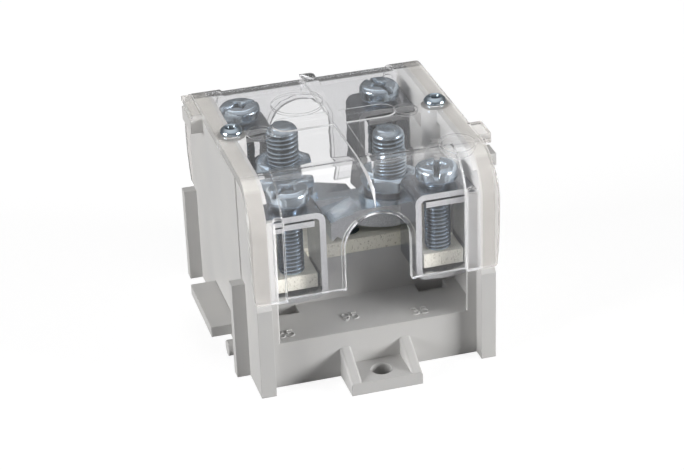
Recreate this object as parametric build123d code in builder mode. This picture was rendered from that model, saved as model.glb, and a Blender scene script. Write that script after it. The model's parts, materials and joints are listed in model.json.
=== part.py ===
from build123d import *
import os
from math import cos, radians, sin

# Power distribution block: one pole, a 95 mm2 main conductor led through under a saddle
# on two M10 bolts, and four frame clamps for 35 mm2 branch conductors.
# Millimetres, +X to the right, +Y to the back, +Z up; the origin is the middle of the base
# on the mounting surface.

os.makedirs("parts", exist_ok=True)

# Main sizes: the sizes below follow from these, with named gaps and insets
housing_width = 74.0
cover_depth = 86.2
wall_top = 65.7
pedestal_top = 30.0

# Housing, outer sizes
hw = housing_width / 2
skin = 4.6
wall_inner = hw - skin
pillar_inset = 0.7
hp = cover_depth / 2 - pillar_inset
base_inset = 4.6
hb = hp - base_inset
base_depth = 2 * hb
shelf_height = 15.1
shelf_thickness = 2.6
pedestal_depth = 33.8
pillar_step_drop = 0.6
pillar_step_height = pedestal_top - pillar_step_drop
base_wall = 2.6
web_wall = 2.0
core_top = 20.0
wall_root = 1.0
cut_margin = 1.0

# Thick middle of the side walls, lips and top bands
lip_depth = 3.1
lip_inner = wall_inner - lip_depth
lip_thickness = 1.2
lip_round = 0.5
middle_wall_drop = 9.7
middle_wall_top = wall_top - middle_wall_drop
band_depth = 1.1
band_height = 3.8

# Clear cover
cover_side_overlap = 0.2
cover_width = housing_width + 2 * cover_side_overlap
cover_rest_gap = 0.1
cover_thickness = 2.4
cover_top = wall_top + cover_thickness
cover_bottom_rise = 1.9
cover_bottom = pedestal_top + cover_bottom_rise
cover_radius = 14.0
cover_seat_gap = 0.05
cover_bow = 0.8
cover_corner = 1.2
cutout_half_width = 10.1
cutout_drop = 10.2
cutout_top = wall_top - cutout_drop
cutout_offset = 0.7
ridge_inset = 1.2
ridge_width = 3.5
ridge_drop = 6.2
ridge_proud = 0.4
cover_ridge_outer = wall_inner - ridge_inset
cover_ridge_inner = cover_ridge_outer - ridge_width
cover_ridge_top = wall_top - ridge_drop
window_depth = 1.4
window_pad = 0.8
window_overlap = 0.1
window_half_width = cover_ridge_inner + window_overlap
rim_width = 1.2
rim_proud = 0.5
cover_rib_height = 0.8
cover_rib_front_width = 3.2
cover_rib_rear_width = 4.6
cover_rib_x = 0.2
cover_rib_tip_angle = 24.0
cover_rib_taper = 9.0
plate_length = 38.6
plate_width = 9.0
plate_height = 0.5
plate_x = -0.3
plate_y = -1.0
tab_root = 2.0
tab_gap = 0.05
left_tab_out = 3.5
left_tab_reach = hw + left_tab_out
left_tab_front = 17.0
left_tab_rear = 33.0
left_tab_drop = 0.7
left_tab_height = 1.5
left_tab_top = cover_top - left_tab_drop
left_tab_bottom = left_tab_top - left_tab_height
right_tab_out = 4.6
right_tab_reach = hw + right_tab_out
right_tab_front = -25.0
right_tab_rear = -16.0
right_tab_drop = 0.9
right_tab_height = 3.2
right_tab_top = cover_top - right_tab_drop
right_tab_bottom = right_tab_top - right_tab_height

# Busbar, a flat H with four fingers
bar_thickness = 4.6
bar_gap = 0.3
bar_bottom = pedestal_top
bar_top = bar_bottom + bar_thickness
bar_half_length = lip_inner - bar_gap
bar_half_width = 17.0
finger_half_width = 6.2
finger_shift = 0.6
finger_inset = 4.8
finger_reach = hb - finger_inset

# Frame clamps and their screws (M8 x 1.25)
cage_half_width = 9.15
cage_depth = 15.0
cage_side_gap = 0.35
cage_front_inset = 1.5
clamp_x = wall_inner - cage_half_width - cage_side_gap
clamp_y = hb - cage_front_inset - cage_depth / 2
finger_x_shift = 0.1
finger_x = clamp_x - finger_x_shift
strip = 1.85
cage_layer_gap = 0.6
cage_corner = 3.0
cage_drop = 2.55
cage_bottom = bar_bottom - cage_drop
cage_bottom_corner = 3.6
cage_bulge = 0.35
cage_bulge_half = 4.0
cage_free_end = 5.8
clamp_thread = 8.0
clamp_head_diameter = 12.4
clamp_head_height = 4.8
clamp_head_drop = 3.8
clamp_head_top = wall_top - clamp_head_drop
clamp_head_bottom = clamp_head_top - clamp_head_height
clamp_head_round = 1.1
clamp_slot_width = 1.5
clamp_slot_depth = 1.6
clamp_cross_length = 5.6
clamp_cross_depth = 2.6
clamp_neck_diameter = 6.6
clamp_neck_height = 0.9
clamp_tip_chamfer = 0.7
thread_clearance = 0.06
cage_head_gap = 1.0
cage_top = clamp_head_bottom - cage_head_gap
cage_inner_top = cage_top - strip - cage_layer_gap
shelf_slot_shift = 0.9
shelf_slot_x = clamp_x + shelf_slot_shift
shelf_slot_length = 9.2
shelf_slot_depth = 5.0

# Main conductor clamp: bolts M10 x 1.5, saddle, washers, thin nuts
bolt_x = 15.1
bolt_y = 6.3
bolt_diameter = 10.0
bolt_top_drop = 2.4
bolt_top = wall_top - bolt_top_drop
bolt_end_width = 6.2
bolt_end_height = 2.6
bolt_head_flats = 16.0
bolt_head_height = 6.4
half_turn = 180
hex_sides = 6
hex_pocket_gap = 0.3
saddle_half_length = 15.3
saddle_half_width = 6.6
saddle_height = 8.3
saddle_top = bar_top + saddle_height
shoulder_drop = 3.0
saddle_shoulder = saddle_top - shoulder_drop
saddle_crest_x = 3.0
saddle_arch_x = 1.0
arch_drop = 4.0
saddle_arch_top = saddle_top - arch_drop
leg_bulge_x = 1.0
leg_bulge_z = 2.6
ear_drop = 7.1
saddle_ear_low = saddle_top - ear_drop
ear_low_out = 1.6
saddle_ear_low_x = bolt_x - ear_low_out
saddle_ear_start = 3.2
ear_root_drop = 5.1
saddle_ear_root = saddle_top - ear_root_drop
ear_rise_drop = 6.5
saddle_ear_rise = saddle_top - ear_rise_drop
ear_dip = 0.8
ear_step = 1.0
saddle_ear_inner = 2.7
saddle_ear_round = 8.9
ear_margin = 0.1
saddle_ear_outer = bolt_x + saddle_ear_round + ear_margin
saddle_hole = 11.0
leg_width = 3.9
tip_width = 0.5
notch_depth = 1.2
bolt_hole_gap = 0.3
bolt_running_gap = 0.05
washer_diameter = 20.0
washer_height = 2.0
washer_hole = 10.8
washer_bottom = saddle_top
spring_diameter = 16.8
spring_height = 2.0
spring_gap = 1.2
spring_bottom = washer_bottom + washer_height
nut_flats = 17.0
nut_height = 5.0
nut_chamfer = 1.0
nut_chamfer_height = 0.6
nut_bottom = spring_bottom + spring_height
nut_turn_left = -10
nut_turn_right = -2

# Cover screws M4 and bar screws M4
cover_screw_inset = 4.8
cover_screw_x = hw - cover_screw_inset
cover_screw_thread = 4.0
cover_screw_head = 7.6
cover_screw_head_height = 2.6
cover_screw_rim = 0.8
cover_screw_length = 14.0
cover_screw_end_gap = 1.0
cover_screw_hole = 4.6
cover_cross_length = 4.2
cover_cross_width = 0.9
cover_cross_depth = 1.5
boss_diameter = 8.8
bar_screw_y = 10.0
bar_screw_thread = 4.0
bar_screw_head = 7.6
bar_screw_length = 9.0
bar_screw_angle = 90
screw_tip = 0.5
screw_hole_gap = 0.05
slot_width = 1.1
slot_depth = 1.1

# Mounting lugs
lug_half_width = 11.1
lug_length = 12.2
lug_reach = hb + lug_length
lug_thickness = 4.0
lug_hole = 6.5
lug_hole_inset = 6.0
lug_hole_y = lug_reach - lug_hole_inset
gusset_thickness = 3.4
gusset_height = 10.0
gusset_round = 0.9
gusset_root = 0.5
gusset_toe = 0.1
slope_least_angle = 12.0
slope_most_angle = 64.0

# Side coupling parts
rib_width = 3.6
rib_height = 4.1
rib_rise = 2.4
rib_top = pillar_step_height + rib_rise
front_rib_inset = 16.0
front_rib_y = -hp + front_rib_inset
rear_rib_inset = 3.8
rear_rib_y = hp - rear_rib_inset
tongue_out = 8.4
tongue_reach = hw + tongue_out
tongue_half_length = 14.2
tongue_bottom = 7.2
tongue_top = 10.6
tongue_slot_gap = 0.4
peg_radius = 2.5
peg_y = -15.5
peg_height = 3.2
peg_out = 4.0
peg_reach = hw + peg_out
pad_height = 0.4
pad_front = front_rib_y + rib_width / 2
pad_rear = 16.4
pad_bottom = 11.0
hook_out = 4.0
hook_reach = hw + hook_out
hook_front = 18.0
hook_rear = 30.0
hook_drop = 0.3
hook_top = wall_top - hook_drop
hook_height = 4.4
right_hook_out = 3.4
right_hook_reach = hw + right_hook_out
right_hook_front = -33.0
right_hook_rear = -26.5
right_hook_drop = 1.5
right_hook_top = wall_top - right_hook_drop
right_hook_height = 3.7

# Seat of the cover on the side walls
side_top = wall_top - cover_rest_gap
seat_y = cover_depth / 2 - cover_thickness - cover_seat_gap
seat_radius = cover_radius - cover_thickness

# Side wall outline, seen from the side
def side_outline():
    with BuildLine() as outline:
        Polyline(
            (-hp, 0),
            (-hp, pillar_step_height),
            (-seat_y, pillar_step_height + hp - seat_y),
            (-seat_y, side_top - seat_radius),
        )
        RadiusArc((-seat_y, side_top - seat_radius), (-seat_y + seat_radius, side_top), seat_radius)
        Line((-seat_y + seat_radius, side_top), (seat_y - seat_radius, side_top))
        RadiusArc((seat_y - seat_radius, side_top), (seat_y, side_top - seat_radius), seat_radius)
        Polyline(
            (seat_y, side_top - seat_radius),
            (seat_y, pillar_step_height + hp - seat_y),
            (hp, pillar_step_height),
            (hp, 0),
            (-hp, 0),
        )
    return outline.line


# Bands along the tops of the side walls, on their inner faces
with BuildPart() as bands:
    for side in (-1, 1):
        with BuildSketch(Plane.YZ.offset(side * wall_inner)) as band_sketch:
            add(side_outline())
            make_face()
        extrude(amount=-side * band_depth)
    with BuildSketch(Plane.XY.offset(wall_top - band_height)) as band_cut_sketch:
        Rectangle(housing_width, cover_depth)
    extrude(amount=band_height, mode=Mode.INTERSECT)


# Moulded housing: side walls, base, pedestal, lugs, coupling parts
with BuildPart() as housing:
    for side in (-1, 1):
        with BuildSketch(Plane.YZ.offset(side * wall_inner)) as wall_sketch:
            add(side_outline())
            make_face()
        extrude(amount=side * skin)
    with BuildSketch(Plane.XY) as base_sketch:
        Rectangle(2 * wall_inner, base_depth)
    extrude(amount=shelf_height)
    with BuildSketch(Plane.XY.offset(shelf_height)) as pedestal_sketch:
        Rectangle(2 * wall_inner, pedestal_depth)
    extrude(amount=pedestal_top - shelf_height)
    # Thick middle part of the side walls and the lips in front of the clamps
    with BuildSketch(Plane.XY.offset(shelf_height)) as middle_sketch:
        for side in (-1, 1):
            with Locations((side * (lip_inner + wall_inner) / 2, 0)):
                Rectangle(wall_inner - lip_inner, pedestal_depth)
    extrude(amount=middle_wall_top - shelf_height)
    with BuildSketch(Plane.XY.offset(shelf_height)) as lip_sketch:
        for side in (-1, 1):
            for end in (-1, 1):
                with Locations((side * (lip_inner + wall_inner) / 2, end * (hb - lip_thickness / 2))):
                    Rectangle(wall_inner - lip_inner, lip_thickness)
        fillet(lip_sketch.vertices().filter_by(lambda v: abs(v.X) < (lip_inner + wall_inner) / 2), lip_round)
    extrude(amount=middle_wall_top - shelf_height)
    # Bosses for the cover screws
    with BuildSketch(Plane.XY.offset(shelf_height)) as boss_sketch:
        for side in (-1, 1):
            with Locations((side * cover_screw_x, 0)):
                Circle(boss_diameter / 2)
    extrude(amount=wall_top - shelf_height)
    add(bands.part)
    with Locations(*[(side * cover_screw_x, 0, wall_top) for side in (-1, 1)]):
        Hole(cover_screw_thread / 2 + screw_hole_gap, depth=cover_screw_length)
    # Hollow underside
    with BuildSketch(Plane.XY) as hollow_sketch:
        for column in (-1, 1):
            for row in (-1, 1):
                cell_w = wall_inner - web_wall / 2
                cell_d = hb - pedestal_depth / 2 - base_wall - web_wall
                cell_y = row * (pedestal_depth / 2 + web_wall + cell_d / 2)
                with Locations((column * (web_wall / 2 + cell_w / 2), cell_y)):
                    Rectangle(cell_w, cell_d)
    extrude(amount=shelf_height - shelf_thickness, mode=Mode.SUBTRACT)
    with BuildSketch(Plane.XY) as core_sketch:
        for column in (-1, 1):
            for row in (-1, 1):
                core_w = wall_inner - web_wall / 2
                core_d = pedestal_depth / 2 - web_wall - web_wall / 2
                with Locations((column * (web_wall / 2 + core_w / 2), row * (web_wall / 2 + core_d / 2))):
                    Rectangle(core_w, core_d)
    extrude(amount=core_top, mode=Mode.SUBTRACT)
    # Openings in the shelf below the frame clamps
    with BuildSketch(Plane.XY.offset(shelf_height)) as slot_sketch:
        for side in (-1, 1):
            for end in (-1, 1):
                with Locations((side * shelf_slot_x, end * (pedestal_depth + shelf_slot_depth) / 2)):
                    Rectangle(shelf_slot_length, shelf_slot_depth)
    extrude(amount=-shelf_thickness, mode=Mode.SUBTRACT)
    # Hexagon pockets for the bolt heads, holes for the bar screws
    with BuildSketch(Plane.XY.offset(pedestal_top)) as hex_sketch:
        for side in (-1, 1):
            with Locations((side * bolt_x, -side * bolt_y)):
                RegularPolygon(bolt_head_flats / 2 + hex_pocket_gap, hex_sides, major_radius=False)
    extrude(amount=-bolt_head_height - hex_pocket_gap, mode=Mode.SUBTRACT)
    with Locations(*[(0, end * bar_screw_y, pedestal_top) for end in (-1, 1)]):
        Hole(bar_screw_thread / 2 + screw_hole_gap, depth=bar_screw_length - bar_thickness)
    # Screw lugs at the front and the back, each with two gussets
    with BuildSketch(Plane.XY) as lug_sketch:
        for end in (-1, 1):
            with Locations((0, end * (hb + lug_reach) / 2)):
                Rectangle(2 * lug_half_width, lug_reach - hb)
    extrude(amount=lug_thickness)
    for end in (-1, 1):
        for side in (-1, 1):
            start = side * lug_half_width if side > 0 else -lug_half_width + gusset_thickness
            with BuildSketch(Plane.YZ.offset(start)) as gusset_sketch:
                with BuildLine():
                    Polyline(
                        (end * (hb - gusset_root), lug_thickness / 2),
                        (end * (lug_reach - gusset_toe), lug_thickness / 2),
                        (end * (lug_reach - gusset_toe), lug_thickness + gusset_toe),
                        (end * hb, gusset_height),
                        (end * (hb - gusset_root), gusset_height),
                        (end * (hb - gusset_root), lug_thickness / 2),
                    )
                make_face()
            extrude(amount=-gusset_thickness)
    slopes = housing.edges().filter_by(GeomType.LINE).filter_by(
        lambda e: abs(e.center().X) < lug_half_width + gusset_toe
        and sin(radians(slope_least_angle)) < abs(e.tangent_at(0).Z) < sin(radians(slope_most_angle))
    )
    fillet(slopes, gusset_round)
    with Locations(*[(0, end * lug_hole_y, lug_thickness) for end in (-1, 1)]):
        Hole(lug_hole / 2, depth=lug_thickness)
    # Coupling parts on the left wall
    with BuildSketch(Plane.XY) as rib_sketch:
        for y in (front_rib_y, rear_rib_y):
            with Locations((-hw - (rib_height - wall_root) / 2, y)):
                Rectangle(rib_height + wall_root, rib_width)
    extrude(amount=rib_top)
    with BuildSketch(Plane.XY.offset(tongue_bottom)) as tongue_sketch:
        with Locations((-(hw - wall_root + tongue_reach) / 2, 0)):
            Rectangle(tongue_reach - hw + wall_root, 2 * tongue_half_length)
    extrude(amount=tongue_top - tongue_bottom)
    with BuildSketch(Plane.YZ.offset(-hw + wall_root)) as peg_sketch:
        with Locations((peg_y, peg_height)):
            Circle(peg_radius)
    extrude(amount=-(peg_reach - hw + wall_root))
    with BuildSketch(Plane.YZ.offset(-hw + wall_root)) as pad_sketch:
        with Locations(((pad_front + pad_rear) / 2, (pad_bottom + side_top) / 2)):
            Rectangle(pad_rear - pad_front, side_top - pad_bottom)
    extrude(amount=-(pad_height + wall_root))
    with BuildSketch(Plane.XY.offset(hook_top)) as hook_sketch:
        with Locations((-(hw - wall_root + hook_reach) / 2, (hook_front + hook_rear) / 2)):
            Rectangle(hook_reach - hw + wall_root, hook_rear - hook_front)
    extrude(amount=-hook_height)
    with BuildSketch(Plane.XY.offset(right_hook_top)) as right_hook_sketch:
        with Locations(((hw - wall_root + right_hook_reach) / 2, (right_hook_front + right_hook_rear) / 2)):
            Rectangle(right_hook_reach - hw + wall_root, right_hook_rear - right_hook_front)
    extrude(amount=-right_hook_height)
    # Openings in the right wall for the tongue and the peg of a neighbour
    with BuildSketch(Plane.YZ.offset(wall_inner - cut_margin)) as right_openings:
        with Locations((0, (tongue_bottom + tongue_top) / 2)):
            slot_length = 2 * tongue_half_length + 2 * tongue_slot_gap
            slot_height = tongue_top - tongue_bottom + 2 * tongue_slot_gap
            Rectangle(slot_length, slot_height)
        with Locations((peg_y, peg_height)):
            Circle(peg_radius + tongue_slot_gap)
        with Locations((peg_y, peg_height / 2)):
            Rectangle(2 * peg_radius + 2 * tongue_slot_gap, peg_height)
    extrude(amount=skin + 2 * cut_margin, mode=Mode.SUBTRACT)
housing.part.label = "housing"
export_step(housing.part, "parts/housing.step")


# Cover outline, seen from the side
def cover_outline(half, top, radius):
    with BuildLine() as outline:
        Line((-half, cover_bottom), (-half, top - radius))
        RadiusArc((-half, top - radius), (-half + radius, top), radius)
        Line((-half + radius, top), (half - radius, top))
        RadiusArc((half - radius, top), (half, top - radius), radius)
        Polyline((half, top - radius), (half, cover_bottom), (-half, cover_bottom))
    return outline.line


# Rib of the cover, tapered to a point at both ends
with BuildPart() as cover_rib:
    tip_y = cover_depth / 2 - cover_radius + cover_radius * cos(radians(cover_rib_tip_angle))
    rib_start = cover_rib_x - cover_rib_rear_width / 2
    with BuildSketch(Plane.YZ.offset(rib_start)) as rib_sketch:
        add(cover_outline(cover_depth / 2 + cover_rib_height, cover_top + cover_rib_height, cover_radius))
        make_face()
    extrude(amount=cover_rib_rear_width)
    with BuildSketch(Plane.YZ.offset(rib_start)) as rib_inside_sketch:
        inset = cover_thickness / 2
        add(cover_outline(cover_depth / 2 - inset, cover_top - inset, cover_radius - inset))
        make_face()
    extrude(amount=cover_rib_rear_width, mode=Mode.SUBTRACT)
    with BuildSketch(Plane.XY) as rib_plan_sketch:
        with BuildLine():
            Polyline(
                (cover_rib_x, -tip_y),
                (cover_rib_x + cover_rib_front_width / 2, -tip_y + cover_rib_taper),
                (cover_rib_x + cover_rib_rear_width / 2, tip_y - cover_rib_taper),
                (cover_rib_x, tip_y),
                (cover_rib_x - cover_rib_rear_width / 2, tip_y - cover_rib_taper),
                (cover_rib_x - cover_rib_front_width / 2, -tip_y + cover_rib_taper),
                (cover_rib_x, -tip_y),
            )
        make_face()
    extrude(amount=cover_top + 2 * cover_rib_height, mode=Mode.INTERSECT)


# Clear cover: a bent sheet with an arched cable opening at each end
with BuildPart() as cover:
    cover_half = cover_depth / 2
    with BuildSketch(Plane.YZ.offset(-cover_width / 2 - cover_bow)) as sheet_sketch:
        add(cover_outline(cover_half, cover_top, cover_radius))
        make_face()
    extrude(amount=cover_width + 2 * cover_bow)
    with BuildSketch(Plane.XZ) as bow_sketch:
        with BuildLine():
            hc = cover_width / 2
            bow_z = (cover_bottom + cover_top) / 2
            ThreePointArc((hc, cover_bottom), (hc + cover_bow, bow_z), (hc, cover_top))
            Line((hc, cover_top), (-hc, cover_top))
            ThreePointArc((-hc, cover_top), (-hc - cover_bow, bow_z), (-hc, cover_bottom))
            Line((-hc, cover_bottom), (hc, cover_bottom))
        make_face()
        fillet(bow_sketch.vertices().group_by(Axis.Y)[0], cover_corner)
    extrude(amount=cover_half, both=True, mode=Mode.INTERSECT)
    with BuildSketch(Plane.YZ.offset(-cover_width / 2 - cover_bow)) as inside_sketch:
        add(cover_outline(cover_half - cover_thickness, cover_top - cover_thickness, seat_radius))
        make_face()
    extrude(amount=cover_width + 2 * cover_bow, mode=Mode.SUBTRACT)
    # Flat recessed windows at both ends, ridges beside them
    for end in (-1, 1):
        with BuildSketch(Plane.YZ.offset(-window_half_width)) as pad_sketch:
            with BuildLine():
                pad_out = cover_half - cover_thickness
                pad_in = pad_out - window_pad
                pad_shoulder = wall_top - seat_radius
                arc_turn = -end * seat_radius
                Line((end * pad_in, cover_bottom), (end * pad_in, pad_shoulder))
                RadiusArc((end * pad_in, pad_shoulder), (end * (pad_in - seat_radius), wall_top), arc_turn)
                Line((end * (pad_in - seat_radius), wall_top), (end * (pad_out - seat_radius), wall_top))
                RadiusArc((end * (pad_out - seat_radius), wall_top), (end * pad_out, pad_shoulder), -arc_turn)
                Polyline(
                    (end * pad_out, pad_shoulder),
                    (end * pad_out, cover_bottom),
                    (end * pad_in, cover_bottom),
                )
            make_face()
        extrude(amount=2 * window_half_width)
        with BuildSketch(Plane.YZ.offset(-window_half_width)) as window_sketch:
            with BuildLine():
                window_y = cover_half - window_depth
                shoulder = cover_top - cover_radius
                beyond = cover_half + cut_margin
                above = cover_top + cut_margin
                RadiusArc(
                    (end * window_y, shoulder),
                    (end * (window_y - cover_radius), cover_top),
                    -end * cover_radius,
                )
                Polyline(
                    (end * (window_y - cover_radius), cover_top),
                    (end * (window_y - cover_radius), above),
                    (end * beyond, above),
                    (end * beyond, cover_bottom - cut_margin),
                    (end * window_y, cover_bottom - cut_margin),
                    (end * window_y, shoulder),
                )
            make_face()
        extrude(amount=2 * window_half_width, mode=Mode.SUBTRACT)
    for facing in (Plane.XZ, Plane(origin=(0, 0, 0), x_dir=(-1, 0, 0), z_dir=(0, 1, 0))):
        with BuildSketch(facing.offset(cover_half - window_depth)) as ridge_sketch:
            for side in (-1, 1):
                ridge_x = side * (cover_ridge_inner + cover_ridge_outer) / 2
                with Locations((ridge_x, (cover_bottom + cover_ridge_top - ridge_width / 2) / 2)):
                    Rectangle(ridge_width, cover_ridge_top - ridge_width / 2 - cover_bottom)
                with Locations((ridge_x, cover_ridge_top - ridge_width / 2)):
                    Circle(ridge_width / 2)
        extrude(amount=window_depth + ridge_proud)
        # Rim of the cable opening, then the opening itself
        arch_z = cutout_top - cutout_half_width
        with BuildSketch(facing.offset(cover_half - cover_thickness - window_pad)) as rim_sketch:
            with Locations((cutout_offset, arch_z)):
                Circle(cutout_half_width + rim_width)
            with Locations((cutout_offset, (cover_bottom + arch_z) / 2)):
                Rectangle(2 * cutout_half_width + 2 * rim_width, arch_z - cover_bottom)
        extrude(amount=cover_thickness + window_pad - window_depth + rim_proud)
        cutout_start = cover_half - cover_thickness - window_pad - cut_margin
        with BuildSketch(facing.offset(cutout_start)) as cutout_sketch:
            with Locations((cutout_offset, arch_z)):
                Circle(cutout_half_width)
            with Locations((cutout_offset, (cover_bottom + arch_z) / 2)):
                Rectangle(2 * cutout_half_width, arch_z - cover_bottom)
        extrude(amount=cover_half + rim_proud + cut_margin - cutout_start, mode=Mode.SUBTRACT)
    # Rib across the top and down the roundings to a point at each end
    add(cover_rib.part)
    # Bare raised name plate
    with BuildSketch(Plane.XY.offset(cover_top)) as plate_sketch:
        with Locations((plate_x, plate_y)):
            SlotOverall(plate_length, plate_width)
    extrude(amount=plate_height)
    # Holes for the two cover screws
    with Locations(*[(side * cover_screw_x, 0, cover_top) for side in (-1, 1)]):
        Hole(cover_screw_hole / 2, depth=cover_thickness)
    # Finger tabs over the hooks of the side walls
    with BuildSketch(Plane.XY.offset(left_tab_bottom)) as left_tab_sketch:
        with Locations((-(left_tab_reach + hw - tab_root) / 2, (left_tab_front + left_tab_rear) / 2)):
            Rectangle(left_tab_reach - hw + tab_root, left_tab_rear - left_tab_front)
    extrude(amount=left_tab_top - left_tab_bottom)
    with BuildSketch(Plane.XY.offset(right_tab_bottom)) as right_tab_sketch:
        with Locations(((right_tab_reach + hw + tab_gap) / 2, (right_tab_front + right_tab_rear) / 2)):
            Rectangle(right_tab_reach - hw - tab_gap, right_tab_rear - right_tab_front)
    extrude(amount=right_tab_top - right_tab_bottom)
cover.part.label = "cover"
export_step(cover.part, "parts/cover.step")


# Busbar: a flat plate with four fingers under the clamp screws
with BuildPart() as busbar:
    with BuildSketch(Plane.XY.offset(bar_bottom)) as bar_sketch:
        Rectangle(2 * bar_half_length, 2 * bar_half_width)
        for side in (-1, 1):
            for end in (-1, 1):
                finger_y = end * (bar_half_width + finger_reach) / 2
                with Locations((side * finger_x - end * finger_shift, finger_y)):
                    Rectangle(2 * finger_half_width, finger_reach - bar_half_width)
        with Locations((-cover_screw_x, 0), (cover_screw_x, 0)):
            Circle(boss_diameter / 2 + bar_gap, mode=Mode.SUBTRACT)
    extrude(amount=bar_thickness)
    with Locations(*[(side * bolt_x, -side * bolt_y, bar_top) for side in (-1, 1)]):
        Hole(bolt_diameter / 2 + bolt_hole_gap, depth=bar_thickness)
    with Locations(*[(0, end * bar_screw_y, bar_top) for end in (-1, 1)]):
        CounterSinkHole(
            bar_screw_thread / 2 + screw_hole_gap,
            bar_screw_head / 2 + screw_hole_gap,
            depth=bar_thickness,
            counter_sink_angle=bar_screw_angle,
        )
busbar.part.label = "busbar"
export_step(busbar.part, "parts/busbar.step")


# Countersunk screw that holds the busbar down
with BuildPart() as bar_screw:
    with BuildSketch(Plane.XZ) as bar_screw_sketch:
        head_drop = (bar_screw_head - bar_screw_thread) / 2
        with BuildLine():
            Polyline(
                (0, bar_top),
                (bar_screw_head / 2, bar_top),
                (bar_screw_thread / 2, bar_top - head_drop),
                (bar_screw_thread / 2, bar_top - bar_screw_length + screw_hole_gap + screw_tip),
                (bar_screw_thread / 2 - screw_tip, bar_top - bar_screw_length + screw_hole_gap),
                (0, bar_top - bar_screw_length + screw_hole_gap),
                (0, bar_top),
            )
        make_face()
    revolve(axis=Axis.Z)
    with BuildSketch(Plane.XY.offset(bar_top)) as bar_slot_sketch:
        Rectangle(bar_screw_head, slot_width)
    extrude(amount=-slot_depth, mode=Mode.SUBTRACT)


# Cover screw with a low round head and a cross recess
with BuildPart() as cover_screw:
    with BuildSketch(Plane.XZ) as cover_screw_sketch:
        shank_bottom = cover_top - cover_thickness - cover_screw_length + cover_screw_end_gap
        dome = cover_screw_head_height - cover_screw_rim
        dome_radius = ((cover_screw_head / 2) ** 2 + dome ** 2) / (2 * dome)
        with BuildLine():
            Polyline(
                (0, cover_top + cover_screw_head_height),
                (0, shank_bottom),
                (cover_screw_thread / 2 - screw_tip, shank_bottom),
                (cover_screw_thread / 2, shank_bottom + screw_tip),
                (cover_screw_thread / 2, cover_top),
                (cover_screw_head / 2, cover_top),
                (cover_screw_head / 2, cover_top + cover_screw_rim),
            )
            RadiusArc(
                (cover_screw_head / 2, cover_top + cover_screw_rim),
                (0, cover_top + cover_screw_head_height),
                -dome_radius,
            )
        make_face()
    revolve(axis=Axis.Z)
    with BuildSketch(Plane.XY.offset(cover_top + cover_screw_head_height)) as cross_sketch:
        Rectangle(cover_cross_length, cover_cross_width)
        Rectangle(cover_cross_width, cover_cross_length)
    extrude(amount=-cover_cross_depth, mode=Mode.SUBTRACT)


# Frame clamp: one strip of steel wrapped into a closed frame, doubled at the top
with BuildPart() as cage:
    with BuildSketch(Plane.XZ.offset(-cage_depth / 2)) as strip_sketch:
        outer = cage_half_width
        with BuildLine() as strip_path:
            mid = strip / 2
            layer_z = cage_inner_top - mid
            Line((-cage_free_end, layer_z), (outer - cage_corner, layer_z))
            RadiusArc(
                (outer - cage_corner, layer_z),
                (outer - mid, layer_z - cage_corner + mid),
                cage_corner - mid,
            )
            bend = cage_bottom_corner - mid
            floor_z = cage_bottom + mid
            Line((outer - mid, layer_z - cage_corner + mid), (outer - mid, floor_z + bend))
            RadiusArc((outer - mid, floor_z + bend), (outer - mid - bend, floor_z), bend)
            Line((outer - mid - bend, floor_z), (cage_bulge_half, floor_z))
            ThreePointArc((cage_bulge_half, floor_z), (0, floor_z - cage_bulge), (-cage_bulge_half, floor_z))
            Line((-cage_bulge_half, floor_z), (-outer + mid + bend, floor_z))
            RadiusArc((-outer + mid + bend, floor_z), (-outer + mid, floor_z + bend), bend)
            Line((-outer + mid, floor_z + bend), (-outer + mid, cage_top - cage_corner))
            RadiusArc(
                (-outer + mid, cage_top - cage_corner),
                (-outer + cage_corner, cage_top - mid),
                cage_corner - mid,
            )
            Line((-outer + cage_corner, cage_top - mid), (outer, cage_top - mid))
        trace(strip_path.line, line_width=strip)
    extrude(amount=cage_depth)
    with Locations((0, 0, cage_top)):
        Hole(clamp_thread / 2 + thread_clearance, depth=2 * strip + 2 * cage_layer_gap)


# Clamp screw M8: round head with a combined slot and cross recess
with BuildPart() as clamp_screw:
    head_top = clamp_head_top
    with BuildSketch(Plane.XZ) as clamp_screw_sketch:
        r_head = clamp_head_diameter / 2
        r_thread = clamp_thread / 2
        r_neck = clamp_neck_diameter / 2
        with BuildLine():
            Polyline(
                (0, head_top),
                (0, bar_top),
                (r_thread - clamp_tip_chamfer, bar_top),
                (r_thread, bar_top + clamp_tip_chamfer),
                (r_thread, clamp_head_bottom - clamp_neck_height),
                (r_neck, clamp_head_bottom - clamp_neck_height + r_thread - r_neck),
                (r_neck, clamp_head_bottom),
                (r_head - clamp_head_round, clamp_head_bottom),
            )
            ThreePointArc(
                (r_head - clamp_head_round, clamp_head_bottom),
                (r_head, (clamp_head_bottom + head_top) / 2),
                (r_head - clamp_head_round, head_top),
            )
            Line((r_head - clamp_head_round, head_top), (0, head_top))
        make_face()
    revolve(axis=Axis.Z)
    with BuildSketch(Plane.XY.offset(head_top)) as clamp_slot_sketch:
        Rectangle(clamp_head_diameter, clamp_slot_width)
    extrude(amount=-clamp_slot_depth, mode=Mode.SUBTRACT)
    with BuildSketch(Plane.XY.offset(head_top)) as clamp_cross_sketch:
        Rectangle(clamp_slot_width, clamp_cross_length)
    extrude(amount=-clamp_cross_depth, mode=Mode.SUBTRACT)


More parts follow.
